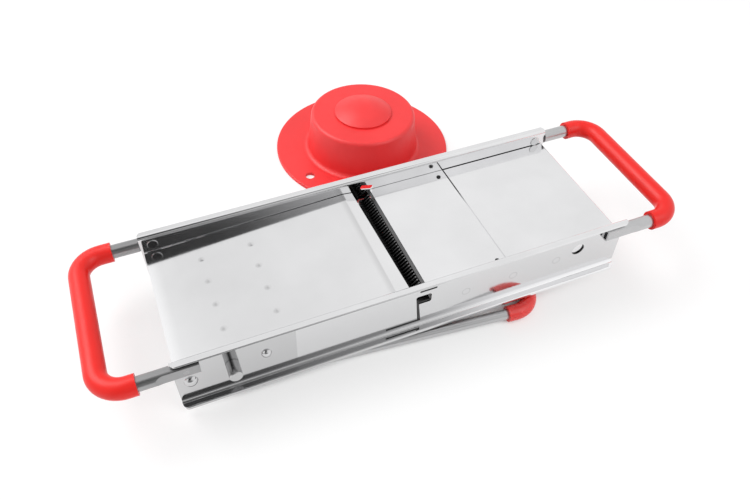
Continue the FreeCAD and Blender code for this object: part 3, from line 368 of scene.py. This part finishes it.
def tinted(tree, shader, mask, level):
    """Blend a steel's colour towards a grey where the mask is 1."""
    mix = tree.nodes.new("ShaderNodeMix")
    mix.data_type = "RGBA"
    base = shader.inputs["Base Color"].links[0].from_socket
    tree.links.new(mask, mix.inputs["Factor"])
    tree.links.new(base, mix.inputs["A"])
    mix.inputs["B"].default_value = (*grey(level), 1.0)
    tree.links.new(mix.outputs["Result"], shader.inputs["Base Color"])


def shading_of(piece):
    """The node tree and the shader of a piece with a steel of its own."""
    tree = own[piece].node_tree
    return tree, tree.nodes["Principled BSDF"]


def on_slicer(x, y, drop):
    """A point of the slicer, at a drop below the rails' top, in the row frame's metres."""
    z = RAIL_TOP - drop
    across = x * math.cos(TILT) - z * math.sin(TILT) - MIDDLE[0]
    up = x * math.sin(TILT) + z * math.cos(TILT) + LIFT
    return (across / MM_IN_METRE, (y - MIDDLE[1]) / MM_IN_METRE, up / MM_IN_METRE)


def upright(tree):
    """How far a point lies along the slicer's own upright direction, in metres."""
    coords = tree.nodes.new("ShaderNodeTexCoord")
    dot = tree.nodes.new("ShaderNodeVectorMath")
    dot.operation = "DOT_PRODUCT"
    dot.inputs[1].default_value = (-math.sin(TILT), 0, math.cos(TILT))
    tree.links.new(coords.outputs["Object"], dot.inputs[0])
    return dot.outputs["Value"]


def upright_at(drop):
    """The same distance for points at a drop below the rails' top, given in millimetres."""
    return (RAIL_TOP - drop + MIDDLE[0] * math.sin(TILT) + LIFT * math.cos(TILT)) / MM_IN_METRE


def below(tree, drop, blend):
    """1 on what lies lower than a drop below the rails' top, in millimetres."""
    return between(tree, upright(tree), upright_at(drop), upright_at(drop + blend))


def above(tree, drop, blend):
    """1 on what lies higher than a drop below the rails' top, in millimetres."""
    return between(tree, upright(tree), upright_at(drop), upright_at(drop - blend))


def left_of(tree, place, blend):
    """1 on what lies to the left of a place along the row frame's X, in metres."""
    return between(tree, position(tree, "X"), place, place - blend)


def right_of(tree, place, blend):
    """1 on what lies to the right of a place along the row frame's X, in metres."""
    return between(tree, position(tree, "X"), place, place + blend)


def slit_at(y):
    """Points along the near rail's slit, at a depth across the slicer."""
    return [on_slicer(SLIT_START + SLIT_PITCH * step, y, SLIT_DROP) for step in range(SLIT_SPOTS)]


# Painted reflection: the near rail is painted darker below its flange, and darker still on its left end,
# up to a straight edge.
tree, shader = shading_of("near_side_rail")
wall = below(tree, FLANGE_DROP, blend=0.6)
tinted(tree, shader, wall, level=0.73)
painted_shade_edge = on_slicer(PAINTED_SHADE_END[0], NEAR_WALL, PAINTED_SHADE_END[1])[0]
tinted(tree, shader, both(tree, wall, left_of(tree, painted_shade_edge, blend=0.0004)), level=0.62)

# Painted reflection: its ledge is painted dark on the left and bright on the right.
ledge = below(tree, LEDGE_DROP, blend=1.6)
tinted(tree, shader, both(tree, ledge, left_of(tree, LEDGE_TURN, LEDGE_BLEND)), level=0.60)
tinted(tree, shader, both(tree, ledge, right_of(tree, LEDGE_TURN, LEDGE_BLEND)), level=0.93)

# Three spot welds show as faint outlines.
welds = [on_slicer(x, NEAR_WALL, drop) for x, drop in RAIL_WELDS]
tinted(tree, shader, rings(tree, welds, RAIL_WELD_RADIUS, RAIL_WELD_LINE), level=0.62)

# Painted reflection and shade: the flange's edge is painted dark towards the left, and the rims of the
# round hole and the slit are painted dark as shade.
edge_height = both(tree, below(tree, EDGE_TOP, blend=0.4), above(tree, EDGE_BOTTOM, blend=0.4))
edge_face = between(tree, position(tree, "Y"), EDGE_BACK, EDGE_FRONT)
flange_edge = both(tree, edge_height, edge_face)
tinted(tree, shader, both(tree, flange_edge, left_of(tree, EDGE_RIGHT, EDGE_FADE)), level=0.10)
hole = on_slicer(ROUND_HOLE[0], WALL_MIDDLE, ROUND_HOLE[1])
tinted(tree, shader, spots(tree, [hole], *HOLE_RIM), level=0.03)
tinted(tree, shader, spots(tree, slit_at(WALL_MIDDLE), *SLIT_RIM), level=0.05)

# The ramp has darker dots at its spot welds, a painted shade line along a crease before its right edge
# and a painted highlight on its left end.
tree, shader = shading_of("ramp_plate")
welds = []
for x in RAMP_WELD_ROWS:
    drop = RAMP_WELD_DROP - RAMP_SLOPE * (x - RAMP_WELD_ROWS[0])
    for place in range(RAMP_WELDS_IN_ROW):
        welds.append(on_slicer(x, RAMP_WELD_PITCH * (place - (RAMP_WELDS_IN_ROW - 1) / 2), drop))
tinted(tree, shader, spots(tree, welds, *RAMP_WELD_FADE), level=0.58)
ramp_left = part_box("ramp_plate")[0][0]
ramp_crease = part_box("ramp_plate")[1][0] - CREASE_FROM_EDGE
crease = both(tree, left_of(tree, ramp_crease + CREASE_RIGHT, blend=CREASE_RIGHT),
              right_of(tree, ramp_crease - CREASE_LEFT, blend=CREASE_LEFT))
tinted(tree, shader, crease, level=0.69)
tinted(tree, shader, left_of(tree, ramp_left + PAINTED_HIGHLIGHT_END, blend=PAINTED_HIGHLIGHT_END), level=0.93)

# The carrier shows through the seam, with painted shade towards the far rail, and through the slit, with
# painted shade behind it.
tree, shader = shading_of("table_carrier")
tinted(tree, shader, between(tree, position(tree, "Y"), SHADE_START, SHADE_END), level=0.03)
tinted(tree, shader, spots(tree, slit_at(NEAR_WALL_INSIDE), *SLIT_PAINTED_SHADE), level=0.05)

# The knob's end face is lighter than its side.
tree, shader = shading_of("thickness_knob")
knob_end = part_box("thickness_knob")[0][1]
knob_face = between(tree, position(tree, "Y"), knob_end + KNOB_FACE_START, knob_end + KNOB_FACE_END)
tinted(tree, shader, knob_face, level=0.56)

# Painted reflection: the handles' rivets are painted darker outside the near rail, and darker still on
# the left.
tree, shader = shading_of("handle_rivets")
near_side = on_slicer(0, NEAR_WALL, 0)[1]
rivet_outside = between(tree, position(tree, "Y"), near_side + RIVET_NEAR_BLEND, near_side)
tinted(tree, shader, rivet_outside, level=0.54)
tinted(tree, shader, left_of(tree, RIVET_LEFT, RIVET_LEFT_BLEND), level=0.40)

# Painted shade and highlight: the comb is painted darkest at its base, between its teeth, and its teeth
# have painted bright glints at their tips.
tree, shader = shading_of("julienne_comb")
tinted(tree, shader, between(tree, position(tree, "Z"), TEETH_MIDDLE, COMB_BASE), level=0.014)
tinted(tree, shader, between(tree, position(tree, "Z"), TIP_START, TIP_END), level=0.25)


def shown(tree):
    """1 for rays from the camera, from mirrors and through glass."""
    path = tree.nodes.new("ShaderNodeLightPath")
    direct = computed(tree, "MAXIMUM", path.outputs["Is Camera Ray"], path.outputs["Is Glossy Ray"])
    return computed(tree, "MAXIMUM", direct, path.outputs["Is Transmission Ray"])


# The floor is pale and keeps the object's shadow. Where it lies open it is shown partly as plain white.
floor_material, tree, shader = new_material("studio_floor")
tree.links.new(mixed(tree, noise(tree, FLOOR_CLOUDS), *FLOOR_TONES), shader.inputs["Base Color"])
shader.inputs["Roughness"].default_value = 0.9
shader.inputs["Specular IOR Level"].default_value = 0.1
openness = tree.nodes.new("ShaderNodeAmbientOcclusion")
openness.inputs["Distance"].default_value = OPEN_REACH
share = tree.nodes.new("ShaderNodeMath")
share.operation = "MULTIPLY"
share.inputs[1].default_value = WHITE_SHARE
tree.links.new(between(tree, openness.outputs["AO"], OPEN_START, OPEN_END), share.inputs[0])
white = tree.nodes.new("ShaderNodeEmission")
white.inputs["Strength"].default_value = 1.0
mix = tree.nodes.new("ShaderNodeMixShader")
tree.links.new(both(tree, shown(tree), share.outputs["Value"]), mix.inputs["Fac"])
tree.links.new(shader.outputs["BSDF"], mix.inputs[1])
tree.links.new(white.outputs["Emission"], mix.inputs[2])
tree.links.new(mix.outputs["Shader"], tree.nodes["Material Output"].inputs["Surface"])

floor_mesh = bpy.data.meshes.new("studio_floor")
floor_corners = [(FLOOR_HALF * x, FLOOR_HALF * y, 0) for x, y in ((-1, -1), (1, -1), (1, 1), (-1, 1))]
floor_mesh.from_pydata(floor_corners, [], [(0, 1, 2, 3)])
floor_mesh.materials.append(floor_material)
floor = bpy.data.objects.new("studio_floor", floor_mesh)
floor.location = (0, 0, -FLOOR_DROP)
scene.collection.objects.link(floor)


def around(azimuth, elevation):
    """A point of the cards' dome, seen from the slicer at the given angles."""
    a = math.radians(azimuth)
    e = math.radians(elevation)
    out = Vector((math.cos(e) * math.cos(a), math.cos(e) * math.sin(a), math.sin(e)))
    return Vector(CARD_CENTRE) + CARD_DISTANCE * out


def stepped(value, start, end):
    """A smooth step from 0 at the start to 1 at the end."""
    t = min(max((value - start) / (end - start), 0.0), 1.0)
    return t * t * (3 - 2 * t)


def along(points, value):
    """The level at a value, read off a line through the given points."""
    if value <= points[0][0]:
        return points[0][1]
    for (start, low), (end, high) in zip(points, points[1:]):
        if value <= end:
            return low + (high - low) * (value - start) / (end - start)
    return points[-1][1]


def front_level(azimuth, elevation):
    """The card behind the camera: dark above the camera, fading to white towards the right."""
    fade = along(FRONT_FADE, azimuth - FRONT_SLANT * elevation)
    haze = stepped(elevation, *HAZE_RISE) * along(FRONT_HAZE, azimuth)
    high = max(fade, haze)
    low = along(FRONT_LOW_FADE, azimuth)
    level = low + (high - low) * stepped(elevation, *LOW_TO_HIGH)
    return max(level, stepped(azimuth, *FRONT_LEFT_END), stepped(elevation, *FRONT_TOP_END))


def back_level(azimuth, elevation):
    """The card behind the slicer that the tables mirror, nearly white."""
    low_end = stepped(elevation, *BACK_LOW_END)
    top_end = stepped(elevation, *BACK_TOP_END)
    return max(along(BACK_FADE, azimuth), stepped(azimuth, *BACK_RIGHT_END), low_end, top_end)


def studio_card(name, azimuths, elevations, level_at):
    """A dome-shaped card that only mirrors see, shaded from point to point."""
    corners = [(a, e) for a in azimuths for e in elevations]
    tall = len(elevations)
    faces = []
    for i in range(len(azimuths) - 1):
        for j in range(tall - 1):
            first = i * tall + j
            faces.append((first, first + 1, first + tall + 1, first + tall))
    mesh = bpy.data.meshes.new(name)
    mesh.from_pydata([around(a, e) for a, e in corners], [], faces)
    shade = mesh.color_attributes.new("shade", "FLOAT_COLOR", "POINT")
    for spot, (a, e) in zip(shade.data, corners):
        level = level_at(a, e)
        spot.color = (level, level, level, 1.0)
    material, tree, shader = new_material(name)
    tree.nodes.remove(shader)
    tone = tree.nodes.new("ShaderNodeAttribute")
    tone.attribute_name = "shade"
    glow = tree.nodes.new("ShaderNodeEmission")
    tree.links.new(tone.outputs["Color"], glow.inputs["Color"])
    tree.links.new(glow.outputs["Emission"], tree.nodes["Material Output"].inputs["Surface"])
    mesh.materials.append(material)
    card = bpy.data.objects.new(name, mesh)
    scene.collection.objects.link(card)
    card.visible_camera = False
    card.visible_diffuse = False
    card.visible_transmission = False
    card.visible_shadow = False


studio_card("card_front", FRONT_AZIMUTHS, FRONT_ELEVATIONS, front_level)
studio_card("card_back", BACK_AZIMUTHS, BACK_ELEVATIONS, back_level)

# The world is shown plain white, and gives the object a weaker fill light.
world = bpy.data.worlds.new("studio")
scene.world = world
world.use_nodes = True
tree = world.node_tree
tree.nodes.clear()
mix = tree.nodes.new("ShaderNodeMixShader")
tree.links.new(shown(tree), mix.inputs["Fac"])
for place, strength in ((1, FILL_STRENGTH), (2, SHOWN_STRENGTH)):
    background = tree.nodes.new("ShaderNodeBackground")
    background.inputs["Color"].default_value = WHITE
    background.inputs["Strength"].default_value = strength
    tree.links.new(background.outputs["Background"], mix.inputs[place])
output = tree.nodes.new("ShaderNodeOutputWorld")
tree.links.new(mix.outputs["Shader"], output.inputs["Surface"])


def softbox(name, size, place, power):
    """A square lamp aimed at the object. It lights surfaces but isn't mirrored by the steel."""
    light = bpy.data.lights.new(name, "AREA")
    light.shape = "SQUARE"
    light.size = size
    light.energy = power
    lamp = bpy.data.objects.new(name, light)
    lamp.location = place
    lamp.rotation_euler = (-Vector(place)).to_track_quat("-Z", "Y").to_euler()
    lamp.visible_glossy = False
    scene.collection.objects.link(lamp)
    return lamp


red_pieces = bpy.data.collections.new("red_pieces")
for part in frame["record"]["subparts"]:
    if part["material_slot"] in REDS:
        red_pieces.objects.link(nodes[part["node"]])

for name, size, place, power in SOFTBOXES:
    softbox(name, size, place, power)
    # The same lamp once more, seen only as a sheen on the red pieces.
    sheen = softbox(name + "_sheen", size, place, power)
    sheen.visible_glossy = True
    sheen.visible_diffuse = False
    sheen.light_linking.receiver_collection = red_pieces

lens = bpy.data.cameras.new("photo_camera")
lens.sensor_fit = "HORIZONTAL"
lens.sensor_width = SENSOR_WIDTH
lens.lens = FOCAL_PIXELS * SENSOR_WIDTH / IMAGE_WIDTH
lens.clip_start = CLIP_NEAR
lens.clip_end = CLIP_FAR
camera = bpy.data.objects.new("photo_camera", lens)
axes = Matrix((CAMERA_RIGHT, CAMERA_UP, [-value for value in CAMERA_VIEW])).transposed()
camera.matrix_world = Matrix.Translation(CAMERA_PLACE) @ axes.to_4x4()
scene.collection.objects.link(camera)
scene.camera = camera
